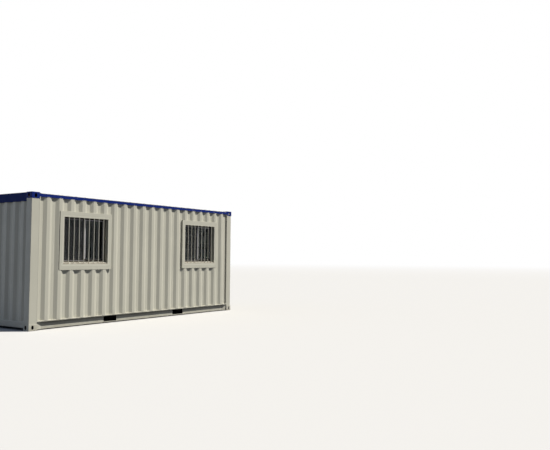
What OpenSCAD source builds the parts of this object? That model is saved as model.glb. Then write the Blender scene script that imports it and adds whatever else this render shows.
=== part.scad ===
// A 20 foot steel container turned into a cabin, with two barred windows let into each long wall.
// Origin: centre of the footprint at floor level. X runs along the cabin, the blind end is at -X,
// the cargo doors are at +X, and the front wall faces -Y.

/* [Container] */
// Overall length over the corner fittings
length = 6058; // [5950:1:6200]
// Overall width over the corner fittings
width = 2438; // [2400:1:2480]
// Overall height over the corner fittings
height = 2591; // [2500:1:2900]
// How far rails, posts and sheets stay inside the faces of the corner fittings
inset = 4; // [2:0.5:6]

/* [Corner fittings] */
// Length of a fitting along the container
fitting_l = 178; // [174:1:182]
// Width of a fitting across the container
fitting_w = 162; // [158:1:166]
// Height of a fitting
fitting_h = 118; // [114:1:122]
// Thickness of the walls with holes in them
fitting_wall = 29; // [24:0.5:30]
// Thickness of the closed walls
fitting_back = 12; // [8:0.5:13]
// Radius of the upright outer edge
fitting_round = 12; // [6:1:14]
// Radius of the outer edges that lie level
fitting_edge = 6; // [3:1:8]
// Length of the locking slot in the top or bottom face
slot_l = 124.5; // [120:0.5:126]
// Width of every slot that takes a lock
slot_w = 63.5; // [60:0.5:66]
// Distance from the end face to the slot's centre
slot_end = 102.5; // [101:0.5:104]
// Distance from the side face to the slot's centre
slot_side = 89.5; // [88:0.5:91]
// Height of the holes in the side and end faces
hand_hole_h = 79.5; // [74:0.5:82]
// Width of the hole in the side face
hand_hole_w = 51; // [46:0.5:54]

/* [Wall sheets] */
// Thickness of wall and roof sheet
sheet_t = 2; // [1.5:0.1:3]
// Depth of the corrugations
rib_depth = 36; // [25:1:40]
// Width of an outer flat on the long walls
outer_flat = 72; // [60:1:80]
// Width of an inner flat on the long walls
inner_flat = 70; // [60:1:80]
// Run of each slope on the long walls
slope = 68; // [40:1:70]
// Distance from the blind end to the first full rib
first_rib = 343; // [340:1:346]
// Number of full ribs on a long wall
rib_count = 20; // [18:1:20]
// Pitch of the ribs on the blind end
end_pitch = 267; // [255:1:270]
// Number of ribs on the blind end
end_ribs = 8; // [6:2:8]
// Width of the flats on the blind end
end_flat = 70; // [60:1:80]
// Run of each slope on the blind end
end_slope = 65; // [40:1:66]
// How far the blind end's sheet stands back from its frame
end_wall_inset = 8; // [6:1:10]
// Radius of the bends in the wall sheets
wall_bend = 12; // [6:1:14]

/* [Rails and posts] */
// Side of the square tube along the top
top_rail = 60; // [50:1:65]
// Height of the underside of the top rail's tube below the top of the fittings
top_rail_drop = 83; // [75:1:90]
// Height of the bottom side rail
bottom_rail_h = 162; // [150:1:165]
// Clearance under the bottom rails
ground_gap = 15; // [11:1:20]
// Distance that the bottom rail's web stands back from its top flange's edge
web_inset = 45; // [30:1:50]
// Height of the lip that its top flange turns down in the plane of the wall
rail_lip = 18; // [10:1:25]
// Thickness of the bottom rail
rail_t = 4.5; // [3:0.5:6]
// Thickness of the corner posts
post_t = 6; // [4:0.5:8]
// Width of the door-end post on the long side
door_post_l = 194; // [190:1:200]
// Height of the painted header over the blind end
header_h = 167; // [120:1:170]
// Radius of the bends in rails, posts and headers
frame_bend = 10; // [7:1:12]

/* [Floor] */
// Height of a cross member
member_h = 122; // [100:1:125]
// Width of a cross member's flanges
member_w = 45; // [35:1:60]
// Thickness of a cross member
member_t = 4; // [3:0.5:6]
// Spacing of the cross members
member_pitch = 290; // [280:1:300]
// Distance of each fork pocket from the middle of the container
pocket_x = 1040; // [1030:1:1050]
// Width of a fork pocket
pocket_w = 350; // [340:1:360]
// Thickness of the floor panels
floor_t = 28; // [20:1:30]

/* [Windows] */
// Distance of each window from the middle between the two
window_x = 1752; // [1700:1:1800]
// How far that middle lies from the middle of the wall, towards the doors
window_shift = 20; // [-40:1:40]
// Width of the clear opening
window_w = 1105; // [900:1:1150]
// Height of the opening's lower edge at the face
window_sill_z = 1246; // [1200:1:1300]
// Height of the opening's upper edge
window_head_z = 2161; // [2100:1:2200]
// Width of the welded surround at the sides
surround_w = 95; // [80:1:110]
// Height of the welded surround over the opening
surround_top = 109; // [80:1:120]
// Height of the welded surround under the opening
surround_bottom = 126; // [100:1:130]
// How far the surround stands out past the wall
surround_proud = 4; // [2:1:25]
// Thickness of the surround's plate
surround_t = 4; // [3:0.5:5]
// Depth from the surround's face to the window frame
reveal = 100; // [90:1:110]
// Rise of the sloping sill from its front to its back
sill_rise = 44; // [30:1:50]
// Width of the aluminium frame's face
frame_w = 22; // [16:1:40]
// Depth of the aluminium frame
frame_d = 46; // [44:1:50]
// Depth of the two channels in which the sashes slide
channel = 9; // [6:1:12]
// Width of a sash's stiles and rails
sash_w = 32; // [26:1:45]
// Thickness of a sash
sash_t = 18; // [14:1:18]
// Width of the stile where the two sashes meet
meeting_w = 44; // [36:1:55]
// How far the meeting stiles stand off the middle of the window
meeting_x = 20; // [0:1:30]

/* [Cargo doors] */
// Width of the door opening
door_w = 2340; // [2330:1:2344]
// Height of the top of the door opening
door_head_z = 2455; // [2450:1:2460]
// Thickness of a door leaf
leaf_t = 50; // [45:1:55]
// Width of a leaf's frame members
leaf_frame = 100; // [80:1:110]
// Wall of a leaf's frame tubes
leaf_tube = 3.2; // [2.5:0.1:4]
// Diameter of a lock rod
rod_d = 34; // [27:1:36]
// Distance between the two rods of a leaf
rod_gap = 560; // [520:10:600]
// Mean height of the handles
handle_z = 1290; // [1100:10:1400]
// Length of a handle
handle_l = 400; // [360:10:440]

/* [Roof] */
// Pitch of the stamped ridges
ridge_pitch = 209; // [200:1:215]
// Width of a ridge's flat top
ridge_top = 91; // [80:1:100]
// Run of each side of a ridge
ridge_slope = 13.5; // [10:0.5:20]
// Height of a ridge
ridge_h = 19; // [12:1:20]
// Number of ridges
ridge_count = 27; // [23:2:27]
// Run of a ridge's tapered end
ridge_taper = 45; // [30:1:60]

/* [Hidden] */

cream = [0.78, 0.765, 0.69];
royal_blue = [0.09, 0.17, 0.50];
underbody = [0.16, 0.16, 0.16];
plywood = [0.55, 0.38, 0.24];
aluminium = [0.72, 0.73, 0.74];
glass_tint = [0.30, 0.38, 0.42, 0.5];
galvanized = [0.62, 0.63, 0.63];
rubber_black = [0.07, 0.07, 0.07];
round_fn = 48;
gear_fn = 24;
seam = 0.5;

half_l = length / 2;
half_w = width / 2;
face_x = half_l - inset;
face_y = half_w - inset;
fit_in_x = half_l - fitting_l;
fit_in_y = half_w - fitting_w;
fit_top_z = height - fitting_h;

rail_top_z = ground_gap + bottom_rail_h;
web_y = face_y - web_inset;
web_in_y = web_y - rail_t;
top_rail_z = height - top_rail_drop;
roof_z = top_rail_z + top_rail;
door_post_x = half_l - door_post_l;
header_z = height - 8 - header_h;
end_rail_top_z = 170;
end_wall_x = face_x - end_wall_inset;

member_z = rail_top_z + 1 - floor_t - member_h;
floor_z = member_z + member_h;
pocket_low_z = member_z + 6;
pocket_high_z = floor_z - 3;

side_pitch = outer_flat + inner_flat + 2 * slope;
door_face_x = half_l - 19;
stop_x = half_l - 117;
door_low_z = rail_top_z + 8;
leaf_back_x = stop_x + 13;
leaf_face_x = leaf_back_x + leaf_t;
leaf_w = door_w / 2 - 8;
rod_x = leaf_face_x + 22;
rod_mid_y = 580;
rod_low_z = 62;
rod_high_z = height - 60;
cam_mid = 16;

win_face_y = face_y + surround_proud;
surround_low_z = window_sill_z - surround_bottom;
surround_high_z = window_head_z + surround_top;
surround_half = window_w / 2 + surround_w;
frame_front_y = win_face_y - reveal;
frame_low_z = window_sill_z + sill_rise;
frame_gap = 2;
sash_play = 1;
sash_edge = window_w / 2 - frame_gap - frame_w + channel - sash_play;
sash_low = frame_low_z + frame_w - channel;
sash_high = window_head_z - frame_gap - frame_w + channel - sash_play;

roof_low_x = -face_x + 4;
roof_high_x = leaf_face_x - frame_bend;
rail_round = 6;
roof_edge_y = face_y - rail_round;

// Folded sheet

// Unit vector square to the step from a to b, on its right-hand side
function right_of(a, b) = let (d = (b - a) / norm(b - a)) [d[1], -d[0]];

// Point i of path p moved in by t, so that both sheets that meet there keep their thickness
function fold_point(p, i, t) = let (
    n1 = right_of(p[max(i - 1, 0)], p[max(i, 1)]),
    n2 = right_of(p[min(i, len(p) - 2)], p[min(i + 1, len(p) - 1)]),
    n = (n1 + n2) / norm(n1 + n2)) p[i] + n * t / (n * n1);

// Closed outline of a sheet of thickness t that lies to the right of path p
function sheet_outline(p, t) = concat(p, [for (i = [len(p) - 1:-1:0]) fold_point(p, i, t)]);

module sheet(p, t) {
    polygon(sheet_outline(p, t));
}

// Extrudes a shape drawn in Y and Z along X, from x0 to x1
module along_x(x0, x1) {
    translate([x0, 0, 0]) rotate([90, 0, 90]) linear_extrude(x1 - x0) children();
}

// Extrudes a shape drawn in X and Z along Y, from y0 to y1
module along_y(y0, y1) {
    translate([0, y1, 0]) rotate([90, 0, 0]) linear_extrude(y1 - y0) children();
}

module block(low, high) {
    translate(low) cube(high - low);
}

// Arc of radius r in place of the corner b of the path a, b, c, a step for each 25 degrees of turn
function bend(a, b, c, r) = let (
    back = (a - b) / norm(a - b),
    on = (c - b) / norm(c - b),
    half = acos(-back * on) / 2,
    out = -(back + on) / norm(back + on),
    across = (on - back) / norm(on - back),
    steps = ceil(2 * half / 25)) r == 0 ? [b] :
    [for (s = [0:steps]) let (turn = half * (2 * s / steps - 1))
        b - out * r / cos(half) + r * (cos(turn) * out + sin(turn) * across)];

// Path p with its corners bent to the radii, one number for all of them or a list
function bent(p, radii) = concat([p[0]],
    [for (i = [1:len(p) - 2]) each bend(p[i - 1], p[i], p[i + 1], is_list(radii) ? radii[i - 1] : radii)],
    [p[len(p) - 1]]);

// Closed outline p with every corner rounded to radius r
function rounded(p, r) = let (n = len(p))
    [for (i = [0:n - 1]) each bend(p[(i + n - 1) % n], p[i], p[(i + 1) % n], r)];

// Corners of a rectangle, for rounded()
function corners(low, high) = [low, [low[0], high[1]], high, [high[0], low[1]]];

// Two copies, one each side of the middle along X
module both_ends() {
    children();
    mirror([1, 0, 0]) children();
}

module both_sides() {
    children();
    mirror([0, 1, 0]) children();
}

// A shape made for the front, placed at side -1 (front) or 1 (back)
module at_side(side) {
    if (side < 0) children();
    else mirror([0, 1, 0]) children();
}

module at_end(end) {
    if (end < 0) children();
    else mirror([1, 0, 0]) children();
}

// Corner fittings

module round_slot(l, w) {
    for (s = [-1, 1]) translate([s * (l - w) / 2, 0]) circle(d = w, $fn = round_fn);
    square([l - w, w], center = true);
}

// The fitting at the front left corner, with its locking slot in the bottom face
module bottom_fitting_shape() {
    difference() {
        fitting_body();
        block([-half_l + fitting_wall, -half_w + fitting_wall, fitting_wall],
            [-fit_in_x - fitting_back, -fit_in_y - fitting_back, fitting_h - fitting_back]);
        translate([-half_l + slot_end, -half_w + slot_side, -1])
            linear_extrude(fitting_wall + 2) round_slot(slot_l, slot_w);
        translate([-half_l + fitting_l / 2, -half_w + fitting_wall + 1, fitting_h / 2 + 5])
            rotate([90, 0, 0]) linear_extrude(fitting_wall + 2)
                rotate(90) round_slot(hand_hole_h, hand_hole_w);
        translate([-half_l - 1, -half_w + slot_side, fitting_h / 2 + 5])
            rotate([90, 0, 90]) linear_extrude(fitting_wall + 2)
                rotate(90) round_slot(hand_hole_h, slot_w);
    }
}

// Block with its outer edges rounded, open to the post and the rails on its other sides
module fitting_body() {
    intersection() {
        linear_extrude(fitting_h)
            polygon(bent([[-fit_in_x, -fit_in_y], [-half_l, -fit_in_y], [-half_l, -half_w],
                [-fit_in_x, -half_w]], [0, fitting_round]));
        along_y(-half_w - 1, -fit_in_y + 1)
            polygon(bent([[-fit_in_x + 1, fitting_h + 1], [-half_l, fitting_h + 1], [-half_l, 0],
                [-fit_in_x + 1, 0]], [0, fitting_edge]));
        along_x(-half_l - 1, -fit_in_x + 1)
            polygon(bent([[-fit_in_y + 1, fitting_h + 1], [-half_w, fitting_h + 1], [-half_w, 0],
                [-fit_in_y + 1, 0]], [0, fitting_edge]));
    }
}

module bottom_fitting(end, side) {
    color(cream) at_end(end) at_side(side) bottom_fitting_shape();
}

module top_fitting(end, side) {
    color(royal_blue) at_end(end) at_side(side)
        translate([0, 0, height]) mirror([0, 0, 1]) bottom_fitting_shape();
}

// Base frame

// Channel with its top flange turned out under the wall sheet, down to a lip, and its bottom flange turned in
module bottom_side_rail(side) {
    gusset_l = 132;
    bottom_flange = 30;
    lip_y = -face_y + rail_t;
    color(cream) at_side(side) difference() {
        union() {
            along_x(-fit_in_x, fit_in_x)
                sheet(bent([[lip_y, rail_top_z - rail_lip], [lip_y, rail_top_z - rail_t],
                    [-web_y, rail_top_z - rail_t], [-web_y, ground_gap],
                    [-web_y + bottom_flange, ground_gap]], [0, 0, 8]), -rail_t);
            both_ends() translate([0, 0, ground_gap]) linear_extrude(bottom_rail_h - rail_t)
                polygon([[-fit_in_x + gusset_l, -web_y], [-fit_in_x, -face_y + 12],
                    [-fit_in_x, -face_y + 12 + rail_t], [-fit_in_x + gusset_l, -web_in_y]]);
        }
        both_ends() block([pocket_x - pocket_w / 2, -web_y - 1, pocket_low_z],
            [pocket_x + pocket_w / 2, -web_in_y + 1, pocket_high_z]);
    }
}

module bottom_end_rail() {
    flange = 60;
    low_z = 50;
    color(cream) along_y(-fit_in_y, fit_in_y)
        sheet(bent([[-face_x + flange, low_z], [-face_x, low_z],
            [-face_x, end_rail_top_z], [-face_x + flange, end_rail_top_z]], end_wall_inset), 4);
}

module door_sill() {
    low_z = 20;
    color(cream) along_y(-fit_in_y, fit_in_y)
        sheet(bent([[stop_x, rail_top_z], [leaf_face_x, rail_top_z],
            [leaf_face_x, low_z], [stop_x, low_z]], frame_bend), post_t);
}

// Angles that carry the sill's threshold and face on over the bottom fittings, up to the posts
module sill_end_plates() {
    color(cream) both_sides() along_y(fit_in_y, door_w / 2)
        sheet(bent([[stop_x, rail_top_z], [leaf_face_x, rail_top_z], [leaf_face_x, fitting_h]],
            frame_bend), post_t);
}

// Places of the cross members, each with the side that its flanges point to
member_places = concat(
    [for (i = [-2:2]) [i * member_pitch, i < 0 ? -1 : 1]],
    [for (s = [-1, 1], e = [-1, 1]) [s * pocket_x + e * pocket_w / 2, e]],
    [for (s = [-1, 1], i = [1:5]) [s * (pocket_x + pocket_w / 2 + i * member_pitch), s]]);

// Channels that run from rail to rail
module cross_members() {
    top = member_z + member_h;
    color(underbody) for (m = member_places) translate([m[0], 0, 0])
        mirror([m[1] > 0 ? 1 : 0, 0, 0]) along_y(-web_in_y, web_in_y)
            sheet(bent([[-member_w, top], [0, top], [0, member_z], [-member_w, member_z]], 7), member_t);
}

// The lid of a fork pocket, and the straps across its mouths
module fork_pocket(end) {
    strap = 200;
    half = pocket_w / 2;
    color(underbody) translate([end * pocket_x, 0, 0]) {
        block([-half, -web_in_y, pocket_high_z], [half, web_in_y, floor_z]);
        both_sides() block([-half, -web_in_y, member_z], [half, -web_in_y + strap, pocket_low_z]);
    }
}

// Plywood panels in two rows, butted with a sealed joint
module floor_panels() {
    joint = 3;
    columns = 5;
    x0 = -face_x + 62;
    x1 = stop_x - post_t;
    panel_l = (x1 - x0 - joint * (columns - 1)) / columns;
    color(plywood) both_sides() for (i = [0:columns - 1])
        translate([x0 + i * (panel_l + joint), joint / 2, floor_z])
            cube([panel_l, web_in_y - 2 - joint / 2, floor_t]);
}

// Posts

module blind_end_post(side) {
    turn_in = end_wall_inset + rib_depth + 6;
    color(cream) at_side(side) translate([0, 0, fitting_h])
        linear_extrude(fit_top_z - fitting_h)
            sheet(bent([[-face_x + turn_in, -fit_in_y], [-face_x, -fit_in_y], [-face_x, -face_y],
                [-fit_in_x, -face_y], [-fit_in_x, -face_y + turn_in]],
                [end_wall_inset, frame_bend, 0]), -post_t);
}

// Outer pressing of the door-end post, with the stop that the door seals against
module door_end_post(side) {
    turn_in = 40;
    stop_y = door_w / 2 - 40;
    color(cream) at_side(side) difference() {
        translate([0, 0, fitting_h]) linear_extrude(top_rail_z - fitting_h)
            sheet(bent([[stop_x, -stop_y], [stop_x, -door_w / 2], [door_face_x, -door_w / 2],
                [door_face_x, -face_y], [door_post_x, -face_y], [door_post_x, -face_y + turn_in]],
                [0, frame_bend, frame_bend, frame_bend]), post_t);
        block([door_post_x - 1, -half_w, 0], [fit_in_x, -stop_y + 1, rail_top_z]);
        block([fit_in_x, -half_w, fit_top_z], [half_l, 0, height]);
    }
}

// Top frame

// Section of the square tube, with its upper corners rounded
module tube_section() {
    wall = 3;
    high = top_rail - wall;
    difference() {
        polygon(bent([[0, 0], [0, top_rail], [top_rail, top_rail], [top_rail, 0]], rail_round));
        polygon(bent([[wall, wall], [wall, high], [high, high], [high, wall]], rail_round - wall));
    }
}

module top_side_rail(side) {
    color(royal_blue) at_side(side) along_x(-fit_in_x, fit_in_x)
        translate([-face_y, top_rail_z]) tube_section();
}

// Square tube behind a pressed face plate that is turned in under the end wall's top
module blind_end_header() {
    plate = 4;
    color(royal_blue) along_y(-fit_in_y, fit_in_y) {
        sheet(bent([[-face_x + top_rail + plate, header_z], [-face_x, header_z],
            [-face_x, header_z + header_h]], end_wall_inset), plate);
        translate([-face_x + plate, roof_z - top_rail]) tube_section();
    }
}

// Pressed header over the doors, with a drip strip across its face and a flat bar seamed on under it
module door_header() {
    plate = 4;
    bar = 12;
    drip_z = rod_high_z + 22;
    color(royal_blue) {
        along_y(-fit_in_y, fit_in_y) {
            sheet(bent([[stop_x, door_head_z + bar], [leaf_face_x, door_head_z + bar],
                [leaf_face_x, roof_z], [stop_x, roof_z]], frame_bend), -plate);
            sheet([[leaf_face_x, drip_z], [leaf_face_x + 24, drip_z - 6],
                [leaf_face_x + 24, drip_z + 4]], -3);
        }
        along_y(-door_w / 2, door_w / 2)
            translate([stop_x, door_head_z + 6]) square([leaf_face_x - stop_x, bar - 6 - seam]);
    }
}

// Roof

// Upper side of the roof sheet, as a solid that reaches down to the given depth
module roof_solid(depth) {
    ridge_base = ridge_top + 2 * ridge_slope;
    y_edge = face_y - top_rail;
    y_top = y_edge - ridge_taper;
    block([roof_low_x, -roof_edge_y, roof_z - depth], [roof_high_x, roof_edge_y, roof_z + sheet_t]);
    intersection() {
        along_y(-y_edge, y_edge) for (i = [0:ridge_count - 1])
            translate([(i - (ridge_count - 1) / 2) * ridge_pitch, roof_z + sheet_t])
                polygon([[-ridge_base / 2, -depth], [ridge_base / 2, -depth], [ridge_base / 2, 0],
                    [ridge_top / 2, ridge_h], [-ridge_top / 2, ridge_h], [-ridge_base / 2, 0]]);
        along_x(-face_x, face_x) translate([0, roof_z + sheet_t])
            polygon([[-y_edge, -depth], [y_edge, -depth], [y_edge, 0],
                [y_top, ridge_h], [-y_top, ridge_h], [-y_edge, 0]]);
    }
}

// The sheet between the rails, seamed at each end to the plate that fills the roof between two fittings
module roof_panel() {
    color(cream) difference() {
        roof_solid(0);
        translate([0, 0, -sheet_t]) roof_solid(5);
        both_sides() both_ends() block([fit_in_x, fit_in_y, 0], [half_l, half_w, height]);
        both_ends() block([fit_in_x - seam, -half_w, 0], [fit_in_x, half_w, height]);
    }
}

// Plates that guard the roof sheet along two sides of each top fitting, with a seam where they meet
module roof_corner_plates() {
    reach_x = 62;
    reach_y = 110;
    low_z = roof_z + sheet_t;
    high_z = low_z + 4;
    color(royal_blue) both_sides() both_ends() {
        block([fit_in_x - reach_x, fit_in_y - reach_y, low_z], [fit_in_x - seam, roof_edge_y, high_z]);
        block([fit_in_x, fit_in_y - reach_y, low_z], [roof_high_x, fit_in_y, high_z]);
    }
}

// Walls

// Plan of a long wall's outer surface, from the blind end to the door-end post
front_wall_path = concat(
    [[-fit_in_x, -face_y], [-half_l + 199, -face_y], [-half_l + 205, -face_y + rib_depth],
        [-half_l + first_rib - slope, -face_y + rib_depth]],
    [for (i = [0:rib_count - 1], c = [[0, 0], [outer_flat, 0],
            [outer_flat + slope, rib_depth], [side_pitch - slope, rib_depth]])
        if (i < rib_count - 1 || c[0] <= outer_flat + slope)
            [-half_l + first_rib + i * side_pitch + c[0], -face_y + c[1]]],
    [[door_post_x, -face_y + rib_depth]]);

module long_wall(side) {
    color(cream) at_side(side) difference() {
        translate([0, 0, rail_top_z]) linear_extrude(top_rail_z - rail_top_z)
            sheet(bent(front_wall_path, wall_bend), -sheet_t);
        for (end = [-1, 1]) translate([window_at(end), 0, 0])
            block([-surround_half, -half_w, surround_low_z], [surround_half, -half_w + 60, surround_high_z]);
    }
}

// Corrugated sheet between the blind end's posts, with a narrow valley along each post
module blind_end_wall() {
    first = -(end_ribs - 1) / 2 * end_pitch;
    path = concat(
        [[rib_depth, -fit_in_y]],
        [for (i = [0:end_ribs - 1], c = [[-end_flat / 2 - end_slope, rib_depth], [-end_flat / 2, 0],
                [end_flat / 2, 0], [end_flat / 2 + end_slope, rib_depth]])
            [c[1], first + i * end_pitch + c[0]]],
        [[rib_depth, fit_in_y]]);
    color(cream) translate([-end_wall_x, 0, end_rail_top_z]) linear_extrude(header_z - end_rail_top_z)
        sheet(bent(path, wall_bend), sheet_t);
}

// Windows

// Place of a window's middle along its wall
function window_at(end) = end * window_x + window_shift;

// Pressed box frame that is welded into the wall, with a sloping sill
module window_surround(end, side) {
    skirt = rib_depth + surround_proud + 2;
    liner_back_y = -frame_front_y + frame_d;
    half = window_w / 2;
    color(cream) at_side(side) translate([window_at(end), 0, 0]) difference() {
        block([-surround_half, -win_face_y, surround_low_z],
            [surround_half, liner_back_y, surround_high_z]);
        difference() {
            block([-surround_half + surround_t, -win_face_y + surround_t, surround_low_z + surround_t],
                [surround_half - surround_t, liner_back_y + 1, surround_high_z - surround_t]);
            window_tunnel(half + surround_t, surround_t, liner_back_y);
        }
        window_tunnel(half, 0, liner_back_y + 1);
        difference() {
            block([-surround_half - 1, -win_face_y + surround_t + skirt, surround_low_z - 1],
                [surround_half + 1, liner_back_y + 2, surround_high_z + 1]);
            window_tunnel(half + surround_t, surround_t, liner_back_y + 3);
        }
    }
}

// The space that a window opening takes through the wall, made bigger all round by grow
module window_tunnel(half, grow, back_y) {
    front_y = -win_face_y - 1;
    along_x(-half, half)
        polygon([[front_y, window_sill_z - grow], [-win_face_y, window_sill_z - grow],
            [-frame_front_y, frame_low_z - grow], [back_y, frame_low_z - grow],
            [back_y, window_head_z + grow], [front_y, window_head_z + grow]]);
}

// A ring in X and Z, as deep as y0 to y1
module ring(low, high, w, y0, y1) {
    along_y(y0, y1) difference() {
        translate(low) square(high - low);
        translate([low[0] + w, low[1] + w]) square([high[0] - low[0] - 2 * w, high[1] - low[1] - 2 * w]);
    }
}

// Extent in X and front plane of a sash, the outer one on the left and the inner one on the right
function sash_x(outer) = outer ? [-sash_edge, meeting_x + meeting_w / 2]
    : [meeting_x - meeting_w / 2, sash_edge];
function sash_y(outer) = -frame_front_y + (outer ? 3 : frame_d - 4 - sash_t);

// Frames with a channel all round for each of the two sashes
module window_frames(side) {
    low = [-window_w / 2 + frame_gap, frame_low_z];
    high = [window_w / 2 - frame_gap, window_head_z - frame_gap];
    slack = 0.5;
    color(aluminium) at_side(side) for (end = [-1, 1]) translate([window_at(end), 0, 0]) difference() {
        ring(low, high, frame_w, -frame_front_y, -frame_front_y + frame_d);
        for (outer = [true, false]) along_y(sash_y(outer) - slack, sash_y(outer) + sash_t + slack)
            translate(low + (frame_w - channel) * [1, 1])
                square(high - low - 2 * (frame_w - channel) * [1, 1]);
    }
}

module window_sashes(side) {
    color(aluminium) at_side(side) for (end = [-1, 1], outer = [true, false])
        translate([window_at(end), 0, 0])
            along_y(sash_y(outer), sash_y(outer) + sash_t) difference() {
                translate([sash_x(outer)[0], sash_low])
                    square([sash_x(outer)[1] - sash_x(outer)[0], sash_high - sash_low]);
                pane_hole(outer);
            }
}

module pane_hole(outer) {
    left = sash_x(outer)[0] + (outer ? sash_w : meeting_w);
    right = sash_x(outer)[1] - (outer ? meeting_w : sash_w);
    translate([left, sash_low + sash_w]) square([right - left, sash_high - sash_low - 2 * sash_w]);
}

module window_glass(side) {
    glass_t = 5;
    bead = 7;
    color(glass_tint) at_side(side) for (end = [-1, 1], outer = [true, false])
        translate([window_at(end), 0, 0])
            along_y(sash_y(outer) + bead, sash_y(outer) + bead + glass_t) pane_hole(outer);
}

// Cargo doors

// The leaf nearer the front: a tube frame round a sheet with ribs that run across
module door_leaf(side) {
    low = [3, door_low_z];
    high = [3 + leaf_w, door_head_z];
    in_low = low + [leaf_frame, leaf_frame];
    in_high = high - [leaf_frame, leaf_frame];
    color(cream) mirror([0, side < 0 ? 1 : 0, 0]) {
        difference() {
            along_x(leaf_back_x, leaf_face_x) difference() {
                translate(low) square(high - low);
                translate(in_low) square(in_high - in_low);
            }
            along_x(leaf_back_x + leaf_tube, leaf_face_x - leaf_tube) {
                difference() {
                    translate(low + [leaf_tube, leaf_tube])
                        square(high - low - 2 * [leaf_tube, leaf_tube]);
                    translate(in_low - [leaf_tube, leaf_tube])
                        square(in_high - in_low + 2 * [leaf_tube, leaf_tube]);
                }
                for (y = [low[0] + leaf_tube, in_high[0] + leaf_tube])
                    translate([y, low[1] - 1])
                        square([leaf_frame - 2 * leaf_tube, high[1] - low[1] + 2]);
            }
        }
        along_y(in_low[0], in_high[0])
            sheet(bent(door_panel_path(in_low[1], in_high[1]), wall_bend), sheet_t);
    }
}

// Upright section of a door's sheet from z0 to z1, with five grooves
function door_panel_path(z0, z1) = let (
    grooves = 5,
    face = leaf_face_x - 4,
    pitch = (z1 - z0) / (grooves + 0.6),
    groove = 90,
    run = 30) concat(
    [[face, z1]],
    [for (i = [grooves - 1:-1:0], c = [[groove / 2 + run, 0], [groove / 2, rib_depth],
            [-groove / 2, rib_depth], [-groove / 2 - run, 0]])
        [face - c[1], z0 + (i + 0.8) * pitch + c[0]]],
    [[face, z0]]);

// Two lock rods of one leaf, each with its cams, guides and handle
module lock_rods(side) {
    color(galvanized) mirror([0, side < 0 ? 1 : 0, 0])
        for (hand = [1, -1]) translate([rod_x, rod_mid_y - hand * rod_gap / 2, 0]) lock_rod(hand);
}

// One rod, whose handle points to +Y for hand 1. Its leaf's face is at -leaf_gap
module lock_rod(hand) {
    handle_step = 130;
    guide_count = 4;
    guide_margin = 150;
    guide_pitch = (door_head_z - door_low_z - 2 * guide_margin) / (guide_count - 1);
    leaf_gap = rod_x - leaf_face_x;
    translate([0, 0, rod_low_z]) cylinder(d = rod_d, h = rod_high_z - rod_low_z, $fn = gear_fn);
    for (z = [rod_low_z + cam_mid, rod_high_z - cam_mid]) translate([0, 0, z]) rod_cam();
    for (i = [0:guide_count - 1])
        translate([0, 0, door_low_z + guide_margin + i * guide_pitch]) rod_guide(leaf_gap);
    translate([0, 0, handle_z - hand * handle_step / 2]) mirror([0, hand < 0 ? 1 : 0, 0]) {
        rod_handle();
        translate([0, handle_l - 60, 0]) handle_catch(leaf_gap);
    }
}

// Forged cam: a socket on the rod's end and a toe that hooks behind the keeper
module rod_cam() {
    socket_h = 48;
    toe_h = 32;
    translate([0, 0, -socket_h / 2]) cylinder(d = rod_d + 8, h = socket_h, $fn = gear_fn);
    translate([0, 0, -toe_h / 2]) linear_extrude(toe_h)
        polygon([[-12, 0], [-9, 44], [-9, 58], [-13, 66], [-11, 76],
            [11, 76], [13, 66], [9, 58], [9, 44], [12, 0]]);
}

// Pressed saddle over the rod on a plate with rounded corners
module rod_guide(gap) {
    plate = [110, 60];
    plate_t = 5;
    saddle_h = 50;
    saddle_d = rod_d + 14;
    along_x(-gap, -gap + plate_t) polygon(rounded(corners(-plate / 2, plate / 2), 12));
    translate([0, 0, -saddle_h / 2]) linear_extrude(saddle_h) {
        circle(d = saddle_d, $fn = gear_fn);
        translate([-gap, -saddle_d / 2]) square([gap, saddle_d]);
    }
}

// Hub on the rod and a flat handle with a rounded end and a hole for a seal
module rod_handle() {
    bar_w = 36;
    bar_t = 12;
    hub_h = 70;
    translate([0, 0, -hub_h / 2]) cylinder(d = rod_d + 12, h = hub_h, $fn = gear_fn);
    along_x(rod_d / 2 - bar_t, rod_d / 2) difference() {
        polygon(rounded(corners([-bar_w / 2, -bar_w / 2], [handle_l, bar_w / 2]), 14));
        translate([handle_l - 16, 0]) circle(d = 12, $fn = gear_fn);
    }
}

// Holder on the leaf: a folded ledge under the handle and a hasp that drops over it
module handle_catch(gap) {
    holder_w = 70;
    hasp_w = 40;
    under = -18;
    along_y(-holder_w / 2, holder_w / 2)
        sheet(bent([[-gap, 70], [-gap, under - 5], [24, under - 5], [24, under + 12]], 8), -5);
    along_y(-hasp_w / 2, hasp_w / 2)
        polygon([[-gap + 5, 22], [-gap + 5, 64], [-gap + 12, 64], [-gap + 14, 42], [24, 32], [24, 22]]);
}

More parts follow.
